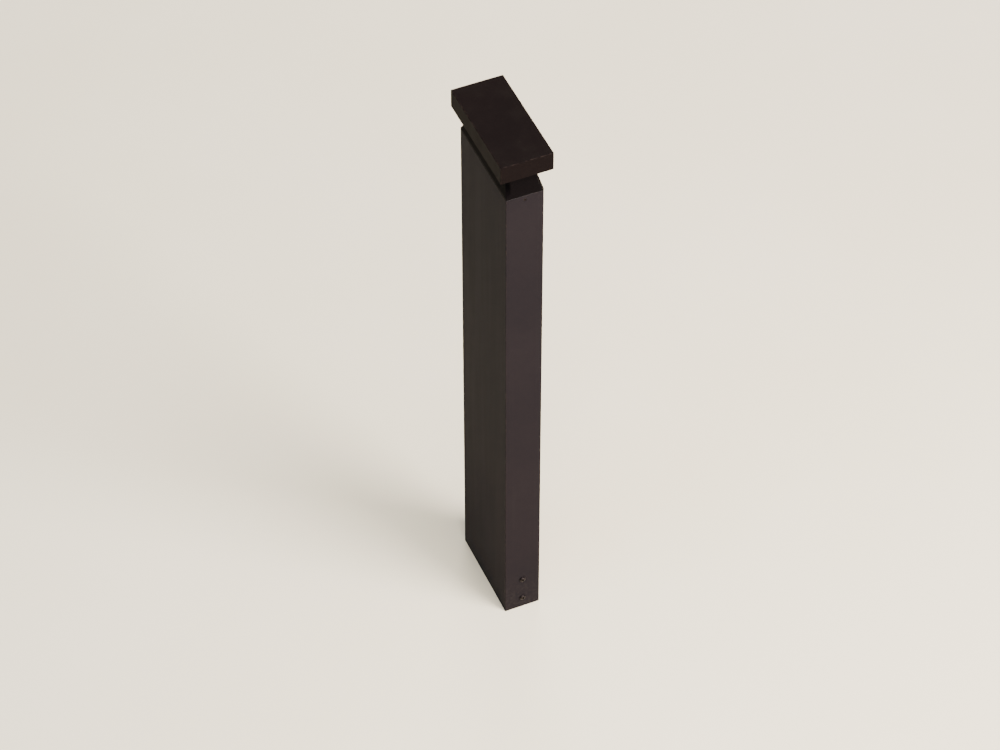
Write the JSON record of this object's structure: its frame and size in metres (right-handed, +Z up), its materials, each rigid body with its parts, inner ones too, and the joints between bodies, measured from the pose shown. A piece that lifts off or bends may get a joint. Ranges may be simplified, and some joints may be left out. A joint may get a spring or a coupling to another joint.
{
  "type": "bollard light",
  "caption": "Rectangular bollard light: slab head with windows under both long overhangs, tapered neck, tall post over a bolted anchor base.",
  "frame": {"origin": "on the ground at the middle of the post", "axes": "+Z up the post; Y along the long side of the section, X along the short side; the windows look down on the -X and +X sides of the neck"},
  "size_m": [0.089, 0.196, 1.067],
  "materials": {
    "bronze_coat": "fine-grained dark bronze powder coat, low sheen",
    "base_casting": "as-cast, slightly dull",
    "stainless": "stainless, lightly weathered",
    "black_screw": "black oxide",
    "zinc_steel": "zinc plated sheet",
    "seal": "black closed-cell silicone",
    "window": "lightly frosted glass",
    "spreader_alloy": "mill-finish extrusion",
    "board_mask": "white solder mask on aluminium",
    "led_phosphor": "yellow phosphor",
    "optic_clear": "clear moulded acrylic",
    "nylon": "black moulded nylon",
    "lead_sheath": "black round sheath",
    "driver_case": "off-white potted case",
    "surge_case": "dark moulded case",
    "connector_body": "orange moulded connector",
    "wire_live": "black insulation",
    "wire_neutral": "white insulation",
    "wire_earth": "green insulation",
    "wire_positive": "red insulation",
    "tinned": "tinned copper"
  },
  "bodies": {
    "base": {"anchor_base": "base_casting", "ground_screw": "stainless", "ground_washer": "stainless"},
    "post": {"post_tube": "bronze_coat", "base_lock_screws": "stainless", "front_clamp_bar": "zinc_steel", "rear_clamp_bar": "zinc_steel", "neck_set_screws": "black_screw"},
    "head": {"neck_casting": "bronze_coat", "head_housing": "bronze_coat", "bottom_cover": "bronze_coat", "neck_screws": "stainless", "cover_screws": "stainless", "spreader_screws": "stainless", "board_screws": "stainless", "tray_screws": "stainless", "gear_screws": "stainless", "tray_ground_screw": "stainless", "gear_tray": "zinc_steel", "post_top_gasket": "seal", "neck_gasket": "seal", "cover_gasket": "seal", "window_gasket_left": "seal", "window_gasket_right": "seal", "window_left": "window", "window_right": "window", "heat_spreader": "spreader_alloy", "led_board_left": "board_mask", "led_board_right": "board_mask", "led_chips_left": "led_phosphor", "led_chips_right": "led_phosphor", "optic_left": "optic_clear", "optic_right": "optic_clear", "vent_plug": "nylon", "gland_body": "nylon", "gland_dome_nut": "nylon", "gland_lock_nut": "nylon", "led_lead": "lead_sheath", "lead_boot": "lead_sheath", "led_driver": "driver_case", "surge_protector": "surge_case", "splice_connectors": "connector_body", "live_wires": "wire_live", "neutral_wires": "wire_neutral", "board_wires_negative": "wire_neutral", "earth_wires": "wire_earth", "board_wires_positive": "wire_positive", "ring_terminal": "tinned"}
  },
  "joints": [
    {"name": "post_lift", "type": "slide", "parent": "base", "child": "post", "axis": [0, 0, 1], "range_m": [0, 0.095]},
    {"name": "head_lift", "type": "slide", "parent": "post", "child": "head", "axis": [0, 0, 1], "range_m": [0, 0.345]}
  ]
}
